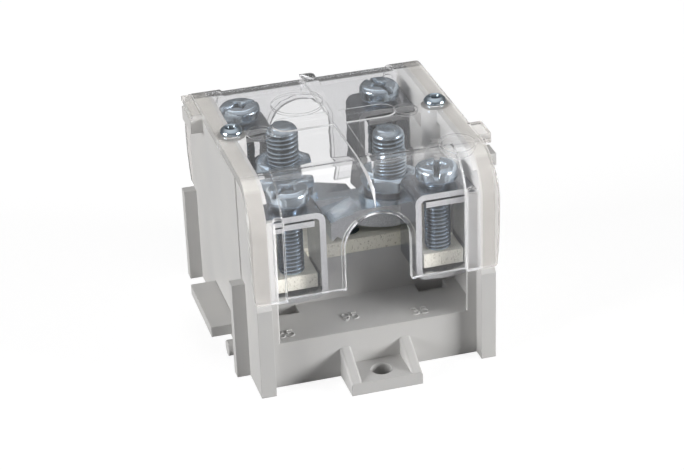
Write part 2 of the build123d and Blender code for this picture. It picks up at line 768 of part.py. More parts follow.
# Saddle: two ears round the bolts, two toothed legs on the busbar
with BuildPart() as saddle:
    leg = saddle_half_width
    for facing in (Plane.XZ, Plane(origin=(0, 0, 0), x_dir=(-1, 0, 0), z_dir=(0, 1, 0))):
        with BuildSketch(facing.offset(saddle_ear_inner)) as body_sketch:
            with BuildLine():
                Polyline(
                    (leg + ear_step, saddle_top),
                    (saddle_crest_x, saddle_top),
                    (-leg, saddle_shoulder),
                    (-leg, bar_top),
                    (-leg + tip_width, bar_top),
                    (-leg + leg_width / 2, bar_top + notch_depth),
                    (-leg + leg_width - tip_width, bar_top),
                    (-leg + leg_width, bar_top),
                )
                ThreePointArc(
                    (-leg + leg_width, bar_top),
                    (-leg + leg_width + leg_bulge_x, bar_top + leg_bulge_z),
                    (saddle_arch_x, saddle_arch_top),
                )
                Polyline(
                    (saddle_arch_x, saddle_arch_top),
                    (saddle_ear_start, saddle_ear_root),
                    (leg + ear_step, saddle_ear_low + ear_dip),
                    (leg + ear_step, saddle_top),
                )
            make_face()
        extrude(amount=saddle_half_length - saddle_ear_inner)
        with BuildSketch(facing.offset(-saddle_ear_inner)) as ear_sketch:
            with BuildLine():
                ThreePointArc(
                    (saddle_ear_start, saddle_ear_root),
                    (leg + ear_step, saddle_ear_low + ear_dip),
                    (saddle_ear_low_x, saddle_ear_low),
                )
                Polyline(
                    (saddle_ear_low_x, saddle_ear_low),
                    (saddle_ear_outer, saddle_ear_rise),
                    (saddle_ear_outer, saddle_top),
                    (saddle_ear_start, saddle_top),
                    (saddle_ear_start, saddle_ear_root),
                )
            make_face()
        extrude(amount=saddle_half_length + saddle_ear_inner)
    with BuildSketch(Plane.XY.offset(saddle_ear_root)) as bridge_sketch:
        Rectangle(2 * leg, 2 * saddle_ear_inner)
    extrude(amount=saddle_top - saddle_ear_root)
    corners = saddle.edges().filter_by(Axis.Z).filter_by(lambda e: abs(e.center().X) > bolt_x)
    fillet(corners, saddle_ear_round)
    with Locations(*[(side * bolt_x, -side * bolt_y, saddle_top) for side in (-1, 1)]):
        Hole(saddle_hole / 2, depth=saddle_top - bar_top)
saddle.part.label = "saddle"
export_step(saddle.part, "parts/saddle.step")


# Main clamp bolt M10, its head held in a hexagon pocket below the busbar
with BuildPart() as bolt:
    with BuildSketch(Plane.XY.offset(bar_bottom)) as bolt_head_sketch:
        RegularPolygon(bolt_head_flats / 2, hex_sides, major_radius=False)
    extrude(amount=-bolt_head_height)
    with BuildSketch(Plane.XZ) as bolt_sketch:
        with BuildLine():
            Polyline(
                (bolt_end_width / 2, bolt_top),
                (0, bolt_top),
                (0, bar_bottom),
                (bolt_diameter / 2, bar_bottom),
                (bolt_diameter / 2, bolt_top - bolt_end_height),
            )
            RadiusArc(
                (bolt_diameter / 2, bolt_top - bolt_end_height),
                (bolt_end_width / 2, bolt_top),
                -bolt_end_height,
            )
        make_face()
    revolve(axis=Axis.Z)


# Flat washer, spring washer and nut of a main clamp bolt
with BuildPart() as washer:
    with BuildSketch(Plane.XY.offset(washer_bottom)) as washer_sketch:
        Circle(washer_diameter / 2)
        Circle(washer_hole / 2, mode=Mode.SUBTRACT)
    extrude(amount=washer_height)

with BuildPart() as spring_washer:
    with BuildSketch(Plane.XY.offset(spring_bottom)) as spring_sketch:
        Circle(spring_diameter / 2)
        Circle(bolt_diameter / 2 + bolt_hole_gap, mode=Mode.SUBTRACT)
        with Locations((spring_diameter / 2, 0)):
            Rectangle(spring_diameter, spring_gap, mode=Mode.SUBTRACT)
    extrude(amount=spring_height)

with BuildPart() as nut:
    with BuildSketch(Plane.XY.offset(nut_bottom)) as nut_sketch:
        RegularPolygon(nut_flats / 2, hex_sides, major_radius=False)
        Circle(bolt_diameter / 2 + bolt_running_gap, mode=Mode.SUBTRACT)
    extrude(amount=nut_height)
    with BuildSketch(Plane.XZ) as nut_bevel_sketch:
        corner = nut_flats / 2 / cos(radians(half_turn / hex_sides)) + bolt_running_gap
        with BuildLine():
            Polyline(
                (0, nut_bottom),
                (corner - nut_chamfer, nut_bottom),
                (corner, nut_bottom + nut_chamfer_height),
                (corner, nut_bottom + nut_height - nut_chamfer_height),
                (corner - nut_chamfer, nut_bottom + nut_height),
                (0, nut_bottom + nut_height),
                (0, nut_bottom),
            )
        make_face()
    revolve(axis=Axis.Z, mode=Mode.INTERSECT)


# Copies in place, one STEP file each
copies = []
for side, side_name, nut_turn in ((-1, "left", nut_turn_left), (1, "right", nut_turn_right)):
    copies.append((cover_screw, "cover_screw_" + side_name, Location((side * cover_screw_x, 0, 0))))
    copies.append((bolt, "bolt_" + side_name, Location((side * bolt_x, -side * bolt_y, 0))))
    copies.append((washer, "washer_" + side_name, Location((side * bolt_x, -side * bolt_y, 0))))
    copies.append((spring_washer, "spring_washer_" + side_name, Location((side * bolt_x, -side * bolt_y, 0))))
    nut_place = Location((side * bolt_x, -side * bolt_y, 0), (0, 0, nut_turn))
    copies.append((nut, "nut_" + side_name, nut_place))
for end, end_name in ((-1, "front"), (1, "rear")):
    copies.append((bar_screw, "bar_screw_" + end_name, Location((0, end * bar_screw_y, 0))))
    for side, side_name in ((-1, "left"), (1, "right")):
        place = Location((side * clamp_x, end * clamp_y, 0))
        turn = Location((0, 0, 0), (0, 0, 0 if side > 0 else half_turn))
        copies.append((cage, "cage_" + end_name + "_" + side_name, place * turn))
        copies.append((clamp_screw, "clamp_screw_" + end_name + "_" + side_name, place))
for source, name, place in copies:
    piece = source.part.moved(place)
    piece.label = name
    export_step(piece, "parts/" + name + ".step")
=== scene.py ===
import json
import math

import bpy
import numpy as np
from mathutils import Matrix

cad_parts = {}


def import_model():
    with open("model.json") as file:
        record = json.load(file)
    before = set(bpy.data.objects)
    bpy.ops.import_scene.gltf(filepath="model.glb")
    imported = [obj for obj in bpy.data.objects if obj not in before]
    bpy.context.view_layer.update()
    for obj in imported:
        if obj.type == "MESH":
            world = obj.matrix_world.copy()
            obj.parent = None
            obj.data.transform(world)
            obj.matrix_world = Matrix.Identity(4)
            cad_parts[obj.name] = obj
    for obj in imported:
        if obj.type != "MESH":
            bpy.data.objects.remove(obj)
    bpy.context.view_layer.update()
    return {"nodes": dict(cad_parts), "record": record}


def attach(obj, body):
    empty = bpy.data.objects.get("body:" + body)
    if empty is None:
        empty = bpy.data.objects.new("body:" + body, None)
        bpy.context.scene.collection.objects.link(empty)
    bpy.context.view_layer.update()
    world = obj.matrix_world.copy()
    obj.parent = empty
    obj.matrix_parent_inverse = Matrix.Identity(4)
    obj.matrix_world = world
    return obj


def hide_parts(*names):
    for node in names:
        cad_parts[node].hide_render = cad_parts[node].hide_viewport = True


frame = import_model()


MM = 0.001
TURN = 2 * math.pi

# Places on the block, in millimetres, the same as in the construction
CLAMP_X, CLAMP_Y = 22.9, 28.8
BOLT_X, BOLT_Y = 15.1, 6.3
COVER_SCREW_X = 32.2
BAR_TOP = 34.6
COVER_TOP = 68.1
SHELF_TOP = 15.1

# Borders of the cover's parts: side rims, end sheets, flat top, and the two ends of the back bend
RIM_START = 32.6
END_SHEET_TOP = 53.5
FLAT_TOP = 65.5
BACK_BEND = 33.0
BACK_SHEET = 40.5

# Half the sides of the two areas that the block covers on the floor: its walls, its lugs; the
# floor's glow is left out over them as a painted shadow
WALLS_HALF = (35.0, 35.5)
LUGS_HALF = (10.5, 48.5)


# Surfaces

def angles(count):
    """Even angles round a full turn."""
    return np.linspace(0, TURN, count, endpoint=False)


def grid_surface(name, points, sunk=None):
    """A mesh over a grid of points (rows, columns, 3): each point and its neighbours in the next
    row and column make a four-sided face, and the last column joins the first. sunk is kept at
    the points: how deep each lies in a thread or a recess, from 0 to 1, for painted shade."""
    rows, cols, _ = points.shape
    here = np.arange(rows * cols).reshape(rows, cols)
    beside = np.roll(here, -1, axis=1)
    faces = np.stack([here[:-1], here[1:], beside[1:], beside[:-1]], axis=-1).reshape(-1, 4)
    mesh = bpy.data.meshes.new(name)
    mesh.from_pydata((points.reshape(-1, 3) * MM).tolist(), [], faces.tolist())
    return finished(name, mesh, np.zeros(rows * cols) if sunk is None else sunk.reshape(-1))


def finished(name, mesh, sunk):
    """The object of a mesh: smooth faces, the depths at its points, seams and poles closed."""
    mesh.polygons.foreach_set("use_smooth", np.ones(len(mesh.polygons), dtype=bool))
    mesh.attributes.new("sunk", "FLOAT", "POINT").data.foreach_set("value", sunk)
    obj = bpy.data.objects.new(name, mesh)
    bpy.context.scene.collection.objects.link(obj)
    obj.modifiers.new("close seams", "WELD").merge_threshold = 2e-6
    return obj


def join(name, parts):
    """Several grid surfaces as one object, each kept as its own shell."""
    points, faces, depths, start = [], [], [], 0
    for part in parts:
        mesh = part.data
        co, sunk = np.empty(len(mesh.vertices) * 3), np.empty(len(mesh.vertices))
        corners = np.empty(len(mesh.loops), dtype=np.int32)
        mesh.vertices.foreach_get("co", co)
        mesh.attributes["sunk"].data.foreach_get("value", sunk)
        mesh.loops.foreach_get("vertex_index", corners)
        points.append(co.reshape(-1, 3))
        depths.append(sunk)
        faces.append(corners.reshape(-1, 4) + start)
        start += len(mesh.vertices)
        bpy.data.objects.remove(part)
    mesh = bpy.data.meshes.new(name)
    mesh.from_pydata(np.concatenate(points).tolist(), [], np.concatenate(faces).tolist())
    return finished(name, mesh, np.concatenate(depths))


def smooth(value, low, high):
    """0 below low, 1 above high, an even S between."""
    s = np.clip((value - low) / (high - low), 0, 1)
    return s * s * (3 - 2 * s)


def thread_radius(z, theta, crest, depth, pitch):
    """Radius of a right-hand thread: a triangle wave along z that climbs one pitch a turn,
    cut flat at crest and root."""
    crest_flat, flank = 0.12, 0.66
    wave = np.abs(2 * np.mod(z / pitch - theta / TURN, 1.0) - 1)
    return crest - depth * np.clip((wave - crest_flat) / flank, 0, 1)


def hexagon_wall(theta, flat):
    """Distance from the axis to the sides of a hexagon: half its width across the flats, over the
    cosine of the angle from the middle of the nearest side."""
    sixth = TURN / 6
    return flat / np.cos(np.mod(theta + sixth / 2, sixth) - sixth / 2)


def recess(x, y, cross_half, cross_width, cross_depth, slot_half=0.0, slot_depth=0.0, soft=0.22):
    """Depth of a cross-shaped recess in the middle of a head, deepest in its core, combined with
    a slot along x; each side falls off over the width soft."""
    wing_end, core = (cross_half - 0.7, cross_half + 0.1), (1.0, 2.2)
    slot = slot_depth * (1 - smooth(np.abs(y), slot_half - soft / 2, slot_half + soft / 2))
    wings = [(1 - smooth(np.abs(across), cross_width - soft / 2, cross_width + soft / 2))
             * (1 - smooth(np.abs(along), *wing_end)) for along, across in ((x, y), (y, x))]
    middle = 1 - smooth(np.hypot(x, y), *core)
    return np.maximum(slot, cross_depth * np.maximum(np.maximum(*wings), middle))


def steps(*corners, size):
    """Points along straight runs between corners (r, z), at most size apart."""
    run_r, run_z = [], []
    for (r0, z0), (r1, z1) in zip(corners[:-1], corners[1:]):
        n = max(1, int(math.ceil(math.hypot(r1 - r0, z1 - z0) / size)))
        s = np.linspace(0, 1, n, endpoint=False)
        run_r.append(r0 + (r1 - r0) * s)
        run_z.append(z0 + (z1 - z0) * s)
    last_r, last_z = corners[-1]
    return np.concatenate(run_r + [[last_r]]), np.concatenate(run_z + [[last_z]])


def arc(centre, radius, a0, a1, count):
    """Points (r, z) on an arc in the profile plane, angles in degrees."""
    a = np.radians(np.linspace(a0, a1, count))
    return list(zip(centre[0] + radius * np.cos(a), centre[1] + radius * np.sin(a)))


def turned(name, x, y, profile, theta, shape, turn=0.0, grooved=True):
    """A turned body: the profile (radii, heights) is carried round the axis. shape(r, z, theta)
    returns the radius and height after threads, recesses or flats are worked in. grooved keeps
    at the points how deep each lies in them, for the zinc's painted shade."""
    thread_deep, recess_deep = 0.75, 1.6
    before_r, t = np.meshgrid(profile[0], theta, indexing="ij")
    before_z = np.meshgrid(profile[1], theta, indexing="ij")[0]
    r, z = shape(before_r, before_z, t)
    sunk = np.clip((before_r - r) / thread_deep + (before_z - z) / recess_deep, 0, 1) * grooved
    points = np.stack([x + r * np.cos(t + turn), y + r * np.sin(t + turn), z], axis=-1)
    return grid_surface(name, points, sunk)


# Nodes of the materials: feeds and sums that several finishes share

def new_material(name, color, metallic=0.0, roughness=0.5):
    """A principled material whose even values sit on the shader's own sockets."""
    mat = bpy.data.materials.new(name)
    mat.use_nodes = True
    shader = mat.node_tree.nodes["Principled BSDF"]
    shader.inputs["Base Color"].default_value = (*color, 1)
    shader.inputs["Metallic"].default_value = metallic
    shader.inputs["Roughness"].default_value = roughness
    return mat, mat.node_tree.nodes, mat.node_tree.links, shader


def feed(links, socket, value):
    """Gives a socket what another one puts out, a number, or a colour of three parts."""
    if hasattr(value, "is_linked"):
        links.new(value, socket)
    else:
        socket.default_value = (*value, 1) if isinstance(value, tuple) else value


def work_out(nodes, links, operation, a, b=0.0):
    """One sum on two values: sockets or numbers."""
    node = nodes.new("ShaderNodeMath")
    node.operation = operation
    feed(links, node.inputs[0], a)
    feed(links, node.inputs[1], b)
    return node.outputs["Value"]


def blend(nodes, links, kind, factor, a, b):
    """Value (FLOAT) or colour (RGBA) a where factor is 0, b where it is 1."""
    node = nodes.new("ShaderNodeMix")
    node.data_type = kind
    for key, value in (("Factor", factor), ("A", a), ("B", b)):
        feed(links, node.inputs[key], value)
    return node.outputs["Result"]


def noise(nodes, links, scale, detail=3.0, stretch=(1, 1, 1), rough=0.5):
    """Noise on Object coordinates; scale counts per metre."""
    coords = nodes.new("ShaderNodeTexCoord")
    place = nodes.new("ShaderNodeMapping")
    place.inputs["Scale"].default_value = stretch
    texture = nodes.new("ShaderNodeTexNoise")
    texture.inputs["Scale"].default_value = scale
    texture.inputs["Detail"].default_value = detail
    texture.inputs["Roughness"].default_value = rough
    links.new(coords.outputs["Object"], place.inputs["Vector"])
    links.new(place.outputs["Vector"], texture.inputs["Vector"])
    return texture.outputs["Fac"]


def spread(nodes, links, source, low, high, start=0.3, stop=0.7):
    """A value from start to stop spread between low and high."""
    node = nodes.new("ShaderNodeMapRange")
    for key, value in (("From Min", start), ("From Max", stop), ("To Min", low), ("To Max", high)):
        node.inputs[key].default_value = value
    links.new(source, node.inputs["Value"])
    return node.outputs["Result"]


def relief(nodes, links, shader, height, strength, distance, edge):
    """Bump from a height, over edges softened by a small radius; metres."""
    soft = nodes.new("ShaderNodeBevel")
    soft.samples = 4
    soft.inputs["Radius"].default_value = edge
    bump = nodes.new("ShaderNodeBump")
    bump.inputs["Strength"].default_value = strength
    bump.inputs["Distance"].default_value = distance
    links.new(height, bump.inputs["Height"])
    links.new(soft.outputs["Normal"], bump.inputs["Normal"])
    links.new(bump.outputs["Normal"], shader.inputs["Normal"])


def beyond(nodes, links, axis, limit, source="Object", both=True):
    """1 where one coordinate of the source is over the limit, on both sides or only on the
    positive one, 0 elsewhere."""
    coords = nodes.new("ShaderNodeTexCoord")
    split = nodes.new("ShaderNodeSeparateXYZ")
    links.new(coords.outputs[source], split.inputs["Vector"])
    size = work_out(nodes, links, "ABSOLUTE" if both else "ADD", split.outputs[axis])
    return work_out(nodes, links, "GREATER_THAN", size, limit)


def within(nodes, links, axis, limit, source="Object"):
    """1 where one coordinate of the source stays inside the limit on both sides, 0 elsewhere."""
    return work_out(nodes, links, "SUBTRACT", 1.0, beyond(nodes, links, axis, limit, source))


def end_face(nodes, links):
    """1 on faces that look to the front or the back of the block, 0 on the others."""
    return beyond(nodes, links, "Y", 0.9, "Normal")


# Housing

def housing_plastic():
    """Matt light grey polyamide with a fine moulded grain and faint cloudiness."""
    mat, nodes, links, shader = new_material("housing_plastic", (0.56, 0.553, 0.543))
    cloud = spread(nodes, links, noise(nodes, links, scale=60, detail=2), 0, 1)
    grain = noise(nodes, links, scale=2600, detail=4, rough=0.6)
    grey = blend(nodes, links, "RGBA", cloud, (0.545, 0.54, 0.534), (0.575, 0.567, 0.552))
    links.new(grey, shader.inputs["Base Color"])
    links.new(spread(nodes, links, grain, 0.42, 0.58), shader.inputs["Roughness"])
    shader.inputs["Specular IOR Level"].default_value = 0.35
    relief(nodes, links, shader, grain, strength=0.12, distance=0.0001, edge=0.0003)
    return mat


# Cover

# Round marks in the cover's top: middle (x, y) and radius in millimetres
MOULD_MARKS = [(29.5, -28.9, 5.4), (22.2, -1.8, 3.6), (-23.8, -2.2, 3.8), (-8.0, 14.0, 8.0)]
MARK_WIDTH = 0.24
# Tints of the clear sheet and of the rims, and a darker tint painted as shade on the rims where
# they face the front or the back
CLEAR_TINT = (0.93, 0.93, 0.94)
RIM_TINT = (0.84, 0.825, 0.805)
RIM_PAINTED_SHADE_TINT = (0.68, 0.665, 0.65)


def ring_mark(nodes, links, x, y, radius):
    """1 on a thin circle about an upright axis at (x, y), 0 off it; millimetres."""
    coords = nodes.new("ShaderNodeTexCoord")
    shift = nodes.new("ShaderNodeMapping")
    shift.inputs["Location"].default_value = (-x * MM, -y * MM, 0)
    shift.inputs["Scale"].default_value = (1, 1, 0)
    reach = nodes.new("ShaderNodeVectorMath")
    reach.operation = "LENGTH"
    links.new(coords.outputs["Object"], shift.inputs["Vector"])
    links.new(shift.outputs["Vector"], reach.inputs[0])
    off = work_out(nodes, links, "SUBTRACT", reach.outputs["Value"], radius * MM)
    size = work_out(nodes, links, "ABSOLUTE", off)
    return spread(nodes, links, size, 1, 0, 0.3 * MARK_WIDTH * MM, MARK_WIDTH * MM)


def sheet_edge(nodes, links):
    """1 on the cover's narrow faces: rims, rib and plate sides, the edges of its openings."""
    across = beyond(nodes, links, "X", 0.75, "Normal")
    top_edge = work_out(nodes, links, "MULTIPLY", beyond(nodes, links, "Z", FLAT_TOP * MM),
                        within(nodes, links, "Z", 0.4, "Normal"))
    end_edge = work_out(nodes, links, "MULTIPLY", within(nodes, links, "Z", END_SHEET_TOP * MM),
                        within(nodes, links, "Y", 0.4, "Normal"))
    narrow = work_out(nodes, links, "MAXIMUM", top_edge, end_edge)
    return work_out(nodes, links, "MAXIMUM", across, narrow)


def clear_plastic():
    """Clear moulded polycarbonate: slightly wavy, a little milky at its edges, in the back bend
    and where it rests on the side walls, with the round marks that the mould's pins and its gate
    leave in the flat top; its rims carry painted shade where they face the front or the back."""
    mat, nodes, links, shader = new_material("clear_plastic", CLEAR_TINT, roughness=0.0)
    shader.inputs["IOR"].default_value = 1.5
    rim = beyond(nodes, links, "X", RIM_START * MM)
    back = beyond(nodes, links, "Y", BACK_SHEET * MM, both=False)
    bend = work_out(nodes, links, "MULTIPLY", beyond(nodes, links, "Y", BACK_BEND * MM, both=False),
                    beyond(nodes, links, "Z", FLAT_TOP * MM))
    marks = 0.0
    for x, y, radius in MOULD_MARKS:
        marks = work_out(nodes, links, "MAXIMUM", marks, ring_mark(nodes, links, x, y, radius))

    haze = noise(nodes, links, scale=700, detail=4)
    clear = spread(nodes, links, haze, 0.97, 0.99)
    edge = sheet_edge(nodes, links)
    for place, share in ((back, 0.86), (rim, 0.93), (edge, 0.5), (bend, 0.48), (marks, 0.72)):
        clear = blend(nodes, links, "FLOAT", place, clear, share)
    links.new(clear, shader.inputs["Transmission Weight"])

    # Painted shade: the rims' faces that look to the front or the back are tinted darker
    painted_shade_rim = work_out(nodes, links, "MULTIPLY", rim, beyond(nodes, links, "Y", 0.5, "Normal"))
    tint = blend(nodes, links, "RGBA", rim, CLEAR_TINT, RIM_TINT)
    links.new(blend(nodes, links, "RGBA", painted_shade_rim, tint, RIM_PAINTED_SHADE_TINT), shader.inputs["Base Color"])
    links.new(blend(nodes, links, "FLOAT", rim, spread(nodes, links, haze, 0.0, 0.01), 0.12),
              shader.inputs["Roughness"])
    wave = spread(nodes, links, noise(nodes, links, scale=90, detail=1), 0, 0.4)
    height = work_out(nodes, links, "MAXIMUM", wave, marks)
    relief(nodes, links, shader, height, strength=0.4, distance=0.0002, edge=0.0003)
    return mat


# Metals

def zinc(name, tint_a, tint_b, rough_low, rough_high, cut=None):
    """Bright zinc plating with a drifting tint, with painted shade that darkens it in threads and
    recesses; cut gives the colour of sawn end faces."""
    mat, nodes, links, shader = new_material(name, tint_a, 1.0, rough_low)
    drift = spread(nodes, links, noise(nodes, links, scale=260), 0, 1)
    color = blend(nodes, links, "RGBA", drift, tint_a, tint_b)
    fine = noise(nodes, links, scale=3000, detail=4, rough=0.65)
    rough, height = spread(nodes, links, fine, rough_low, rough_high), fine
    if cut:
        face = end_face(nodes, links)
        saw = noise(nodes, links, scale=2400, detail=5, stretch=(1, 1, 1.6), rough=0.75)
        sawn = blend(nodes, links, "RGBA", spread(nodes, links, saw, 0, 1, 0.35, 0.65),
                     tuple(0.62 * c for c in cut), cut)
        color = blend(nodes, links, "RGBA", face, color, sawn)
        rough = blend(nodes, links, "FLOAT", face, rough, 0.5)
        height = blend(nodes, links, "FLOAT", face, spread(nodes, links, fine, 0.4, 0.6), saw)
        links.new(blend(nodes, links, "FLOAT", face, 1.0, 0.35), shader.inputs["Metallic"])
    # Painted shade: the colour falls to 0.16 of the tint where a point lies deep in a thread or a
    # recess
    deep = nodes.new("ShaderNodeAttribute")
    deep.attribute_name = "sunk"
    shade = blend(nodes, links, "RGBA", spread(nodes, links, deep.outputs["Fac"], 0, 1, 0.25, 1.0),
                  color, tuple(0.16 * c for c in tint_a))
    links.new(shade, shader.inputs["Base Color"])
    links.new(rough, shader.inputs["Roughness"])
    relief(nodes, links, shader, height, strength=0.18 if cut else 0.08, distance=0.00015,
           edge=0.0002)
    return mat


def tinned_copper():
    """Dull tin plating: cream, streaked along the bar, rougher and pitted on the sheared ends."""
    mat, nodes, links, shader = new_material("tinned_copper", (0.8, 0.77, 0.66), 0.15, 0.45)
    streak = noise(nodes, links, scale=500, detail=4, stretch=(0.25, 1, 1.5))
    plate = blend(nodes, links, "RGBA", spread(nodes, links, streak, 0, 1),
                  (0.74, 0.71, 0.60), (0.87, 0.845, 0.75))
    fine = noise(nodes, links, scale=2200, detail=5, stretch=(1, 1, 0.5), rough=0.7)
    torn = blend(nodes, links, "RGBA", spread(nodes, links, fine, 0, 1, 0.33, 0.45),
                 (0.46, 0.42, 0.32), (0.93, 0.90, 0.79))
    face = end_face(nodes, links)
    links.new(blend(nodes, links, "RGBA", face, plate, torn), shader.inputs["Base Color"])
    links.new(blend(nodes, links, "FLOAT", face, spread(nodes, links, streak, 0.3, 0.45), 0.6),
              shader.inputs["Roughness"])
    relief(nodes, links, shader, fine, strength=0.2, distance=0.00015, edge=0.0003)
    return mat


MATERIALS = {
    "housing_plastic": housing_plastic(),
    "clear_plastic": clear_plastic(),
    "tinned_copper": tinned_copper(),
    "zinc_saddle": zinc("zinc_saddle", (0.72, 0.82, 0.91), (0.82, 0.88, 0.93), 0.10, 0.19,
                        cut=(0.84, 0.85, 0.87)),
    "zinc_steel": zinc("zinc_steel", (0.53, 0.64, 0.75), (0.64, 0.72, 0.78), 0.12, 0.22),
    "cage_steel": zinc("cage_steel", (0.40, 0.42, 0.46), (0.48, 0.49, 0.52), 0.14, 0.25,
                       cut=(0.56, 0.56, 0.57)),
    "dark_steel": zinc("dark_steel", (0.12, 0.125, 0.14), (0.2, 0.2, 0.21), 0.28, 0.4),
}

slots = {row["node"]: row["material_slot"] for row in frame["record"]["subparts"]}
for node, obj in frame["nodes"].items():
    obj.data.materials.clear()
    obj.data.materials.append(MATERIALS[slots[node]])
# The clear cover lets the lamps' light through to the parts under it
frame["nodes"]["cover"].visible_shadow = False


def dress(obj, body, slot):
    """Gives a new piece its body, its material and its slot."""
    obj.data.materials.clear()
    obj.data.materials.append(MATERIALS[slot])
    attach(obj, body)


# Bolts and screws

def main_bolt(name, x, y, turn):
    """M10 bolt: a thread of 1.5 mm pitch that runs out into a rounded end; hexagon head below
    the busbar."""
    top, low, pitch, crest, depth = 63.3, 30.0, 1.5, 4.99, 0.88
    head_top, head_low, flat = 29.99, 23.6, 8.0
    end_middle, end_radius = 2.35, 2.6
    dome = arc((end_middle, top - end_radius), end_radius, 76, 2, 14)
    shank = steps((0.0, top), (1.8, top), (3.0, top - 0.06), *dome, (crest, top - 2.7),
                  (crest, low), (0.0, low), size=0.125)
    head = steps((0.0, head_top), (flat, head_top), (flat, head_low), (0.0, head_low), size=4.0)

    def thread(r, z, theta):
        runs_out = 1 - smooth(z, top - 2.2, top - 1.2)
        cut = thread_radius(z, theta, crest, depth * runs_out, pitch)
        return np.where(z < top - 1.0, np.minimum(r, cut), r), z

    def hexagon(r, z, theta):
        return r / flat * hexagon_wall(theta, flat), z

    return join(name, [turned(name + "_shank", x, y, shank, angles(56), thread, turn),
                       turned(name + "_head", x, y, head, angles(48), hexagon)])


def clamp_screw(name, x, y, turn):
    """M8 clamp screw: barrel head 12.8 mm across with slot and cross, short neck, thread of
    1.25 mm pitch down to the busbar."""
    low, high, face, edge = 57.1, 61.9, 4.8, 1.6
    pitch, crest, depth, neck = 1.25, 3.99, 0.72, 3.3
    thread_top = 56.2
    side = arc((face, high - edge), edge, 84, 8, 9) + arc((face, low + edge), edge, -8, -80, 7)
    runs = [steps((0.0, high), (face, high), size=0.17),
            steps((face, high), *side, (4.2, low), (neck, low), (neck, 56.8),
                  (3.95, thread_top), size=0.8),
            steps((crest, thread_top), (crest, BAR_TOP + 0.8), (neck, BAR_TOP), (0.0, BAR_TOP),
                  size=0.125)]

    def shape(r, z, theta):
        cut = thread_radius(z, theta, crest, depth, pitch)
        r = np.where(z < thread_top + 0.2, np.minimum(r, cut), r)
        dip = recess(r * np.cos(theta), r * np.sin(theta), cross_half=2.9, cross_width=0.65,
                     cross_depth=2.6, slot_half=0.85, slot_depth=1.5)
        return r, np.where(z > high - 1.3, z - dip, z)

    return turned(name, x, y, np.concatenate(runs, axis=1), angles(112), shape, turn)


def flat_nut(name, x, y, turn):
    """Thin M10 nut, 17 mm across its flats: a hexagon whose corners are turned off at 30 degrees
    above and below, down to a round face narrower than the flats."""
    low, high, flat = 46.9, 51.9, 8.5
    bore, mouth, face, corner, chamfer = 5.05, 5.9, 7.9, 9.9, 1.15
    profile = steps((bore, high - 0.7), (mouth, high), (face, high), (corner, high - chamfer),
                    (corner, low + chamfer), (face, low), (bore, low), (bore, high - 0.7), size=0.5)

    def shape(r, z, theta):
        return np.minimum(r, hexagon_wall(theta, flat)), z

    return turned(name, x, y, profile, angles(144), shape, turn, grooved=False)


def cover_screw(name, x, y, turn):
    """Pan head screw with a cross recess, and its thread of 1.4 mm pitch in the side wall."""
    base, shank, pitch, depth = COVER_TOP, 1.98, 1.4, 0.4
    runs = [steps(*arc((0.0, base - 1.71), 4.31, 90, 47, 18), size=0.22),
            steps((3.2, base + 1.2), (3.45, base + 0.65), (3.3, base + 0.02), (2.0, base),
                  size=0.5),
            steps((2.0, base), (shank, base - 10), (0.6, base - 15.2), (0.0, base - 15.3),
                  size=0.3)]

    def shape(r, z, theta):
        cut = thread_radius(z, theta, shank, depth, pitch)
        r = np.where(z < base - 0.4, np.minimum(r, cut), r)
        dip = recess(r * np.cos(theta), r * np.sin(theta), cross_half=1.9, cross_width=0.36,
                     cross_depth=1.7, soft=0.16)
        return r, np.where(z > base + 1.2, z - dip, z)

    return turned(name, x, y, np.concatenate(runs, axis=1), angles(96), shape, turn)


# How far each is turned about its axis, in radians
BOLT_TURNS = {"left": -0.6, "right": 1.4}
NUT_TURNS = {"left": math.radians(-10), "right": math.radians(-2)}
COVER_SCREW_TURNS = {"left": 0.1, "right": 0.9}
CLAMP_SCREW_TURNS = {"front_left": 0.62, "front_right": 1.25, "rear_left": 0.3, "rear_right": 1.9}
SIDES = ((-1, "left"), (1, "right"))

for side, side_name in SIDES:
    x, y = side * BOLT_X, -side * BOLT_Y
    bolt = main_bolt("threaded_bolt_" + side_name, x, y, BOLT_TURNS[side_name])
    dress(bolt, "block", "zinc_steel")
    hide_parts("bolt_" + side_name)
    nut = flat_nut("chamfered_nut_" + side_name, x, y, NUT_TURNS[side_name])
    dress(nut, "nut_" + side_name, "zinc_steel")
    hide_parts("nut_" + side_name)
    screw = cover_screw("recessed_cover_screw_" + side_name, side * COVER_SCREW_X, 0,
                        COVER_SCREW_TURNS[side_name])
    dress(screw, "block", "zinc_steel")
    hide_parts("cover_screw_" + side_name)

for end, end_name in ((-1, "front"), (1, "rear")):
    for side, side_name in SIDES:
        place = end_name + "_" + side_name
        screw = clamp_screw("threaded_clamp_screw_" + place, side * CLAMP_X, end * CLAMP_Y,
                            CLAMP_SCREW_TURNS[place])
        dress(screw, "screw_" + place, "zinc_steel")
        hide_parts("clamp_screw_" + place)


# Raised numbers on the front shelf: the cross-section in mm2 of the conductor at each place

# Middle lines of the digits, in a box 0.56 wide and 1 high
STROKES = {
    "3": [[(0.04, 0.87), (0.22, 1.0), (0.44, 0.9), (0.42, 0.64), (0.18, 0.54)],
          [(0.18, 0.54), (0.43, 0.47), (0.54, 0.26), (0.42, 0.05), (0.2, 0.0), (0.02, 0.12)]],
    "5": [[(0.52, 0.98), (0.32, 0.98), (0.12, 0.98)],
          [(0.12, 0.98), (0.1, 0.76), (0.07, 0.53)],
          [(0.07, 0.53), (0.26, 0.61), (0.48, 0.52), (0.55, 0.3), (0.45, 0.07), (0.24, 0.0),
           (0.02, 0.1)]],
    "9": [[(0.53, 0.68), (0.42, 0.46), (0.22, 0.42), (0.05, 0.56), (0.04, 0.8), (0.2, 0.98),
           (0.41, 0.95), (0.53, 0.74), (0.52, 0.42), (0.42, 0.15), (0.24, 0.01), (0.08, 0.03)]],
}
